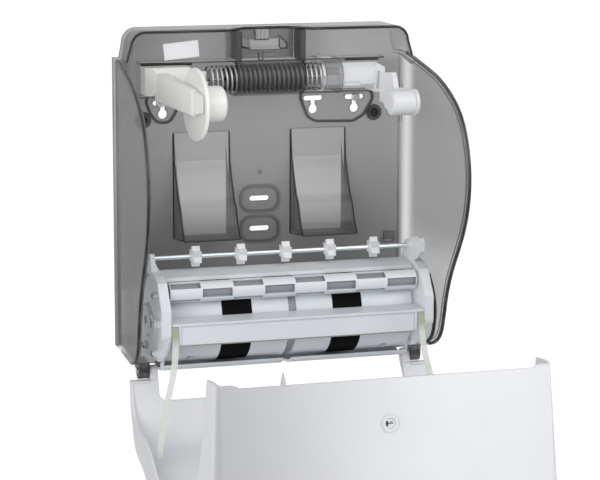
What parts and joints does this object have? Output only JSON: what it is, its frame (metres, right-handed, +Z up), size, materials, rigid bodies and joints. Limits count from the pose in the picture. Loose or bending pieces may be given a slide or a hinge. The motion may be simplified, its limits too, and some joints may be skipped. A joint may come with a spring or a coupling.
{
  "type": "roll paper towel dispenser",
  "caption": "Wall-mounted roll towel dispenser with a smoke housing, a bottom-hinged frosted cover hanging open, sprung roll arms and a drum feed with a cutting blade",
  "frame": {"origin": "middle of the bottom edge of the flat back of the housing, on the wall", "axes": "+X to the right as the user sees it, +Y into the wall, +Z up"},
  "size_m": [0.3302, 0.429, 0.4537],
  "materials": {
    "smoke": "translucent smoke-grey moulding",
    "white": "white moulding with a fine satin grain",
    "natural": "natural off-white moulding, slightly translucent",
    "frosted": "frosted white translucent moulding",
    "clear": "clear strap, a little green",
    "rubber": "black grip rubber",
    "black": "black plug",
    "steel": "plain steel",
    "spring": "spring steel",
    "zinc": "bright zinc",
    "paper": "blank paper label"
  },
  "bodies": {
    "housing": {"housing_shell": "smoke", "label_sticker": "paper", "wall_screws": "zinc", "hole_plugs": "black", "latch_catch": "smoke", "side_plate_left": "white", "side_plate_right": "white", "guide_plate_top": "white", "guide_plate_bottom": "white", "cross_bar_front": "white", "shaft_bushes": "white", "mech_screws": "zinc", "pawl_pin": "steel", "spring_post": "steel", "crank_spring": "spring", "arm_spring": "spring", "strap_left": "clear", "strap_right": "clear", "hinge_pins": "steel"},
    "arm_left": {"arm_slide_left": "natural", "hub_pin_left": "natural"},
    "arm_right": {"arm_slide_right": "natural", "hub_pin_right": "natural"},
    "hub_left": {"hub_left": "natural"},
    "hub_right": {"hub_right": "natural"},
    "star": {"star_shaft": "zinc", "star_wheels": "natural"},
    "roller": {"pinch_roller": "white", "roller_shaft": "steel"},
    "drum": {"drum_half_front": "white", "drum_half_rear": "white", "drum_screws": "zinc", "drum_shaft": "steel", "grip_bands": "rubber", "knife_rod": "steel", "ratchet_wheel": "white", "crank": "white"},
    "knife": {"knife_blade": "steel", "knife_carrier": "white"},
    "pawl": {"pawl": "white"},
    "cover": {"cover_shell": "frosted", "lock_ring": "zinc", "strap_clips": "white"},
    "lock": {"lock_cylinder": "zinc", "lock_cam": "steel"}
  },
  "joints": [
    {"name": "cover_hinge", "type": "hinge", "parent": "housing", "child": "cover", "pos_m": [0, -0.08, -0.01], "axis": [1, 0, 0], "range_deg": [-84.6, 0], "deforming": ["strap_left", "strap_right"]},
    {"name": "lock_turn", "type": "hinge", "parent": "cover", "child": "lock", "pos_m": [0, -0.41953, 0.01205], "axis": [0, -0.9893, 0.1461], "range_deg": [0, 90]},
    {"name": "arm_left_slide", "type": "slide", "parent": "housing", "child": "arm_left", "axis": [-1, 0, 0], "range_m": [0, 0.018], "stiffness_N_per_m": 500, "springref_m": -0.012, "deforming": ["arm_spring"]},
    {"name": "arm_right_slide", "type": "slide", "parent": "housing", "child": "arm_right", "axis": [1, 0, 0], "range_m": [0, 0.018], "stiffness_N_per_m": 500, "springref_m": -0.012, "deforming": ["arm_spring"]},
    {"name": "hub_left_spin", "type": "hinge", "parent": "arm_left", "child": "hub_left", "pos_m": [-0.093, -0.105, 0.26], "axis": [0.9962, 0.0872, 0], "continuous": true},
    {"name": "hub_right_spin", "type": "hinge", "parent": "arm_right", "child": "hub_right", "pos_m": [0.121, -0.105, 0.255], "axis": [1, 0, 0], "continuous": true},
    {"name": "star_spin", "type": "hinge", "parent": "housing", "child": "star", "pos_m": [0, -0.0973, 0.1076], "axis": [1, 0, 0], "continuous": true},
    {"name": "drum_spin", "type": "hinge", "parent": "housing", "child": "drum", "pos_m": [0, -0.0795, 0.0425], "axis": [1, 0, 0], "continuous": true, "deforming": ["crank_spring"]},
    {"name": "roller_spin", "type": "hinge", "parent": "housing", "child": "roller", "pos_m": [0, -0.1228, 0.0772], "axis": [1, 0, 0], "continuous": true},
    {"name": "knife_swing", "type": "hinge", "parent": "drum", "child": "knife", "pos_m": [0, -0.04365, 0.04241], "axis": [-1, 0, 0], "range_deg": [0, 16], "stiffness_Nm_per_rad": 0.6, "springref_deg": -20.05},
    {"name": "pawl_swing", "type": "hinge", "parent": "housing", "child": "pawl", "pos_m": [-0.139, -0.112, 0.044], "axis": [1, 0, 0], "range_deg": [0, 15]}
  ],
  "couplings": [
    {"joint": "roller_spin", "follows": "drum_spin", "ratio": -4.3301}
  ]
}
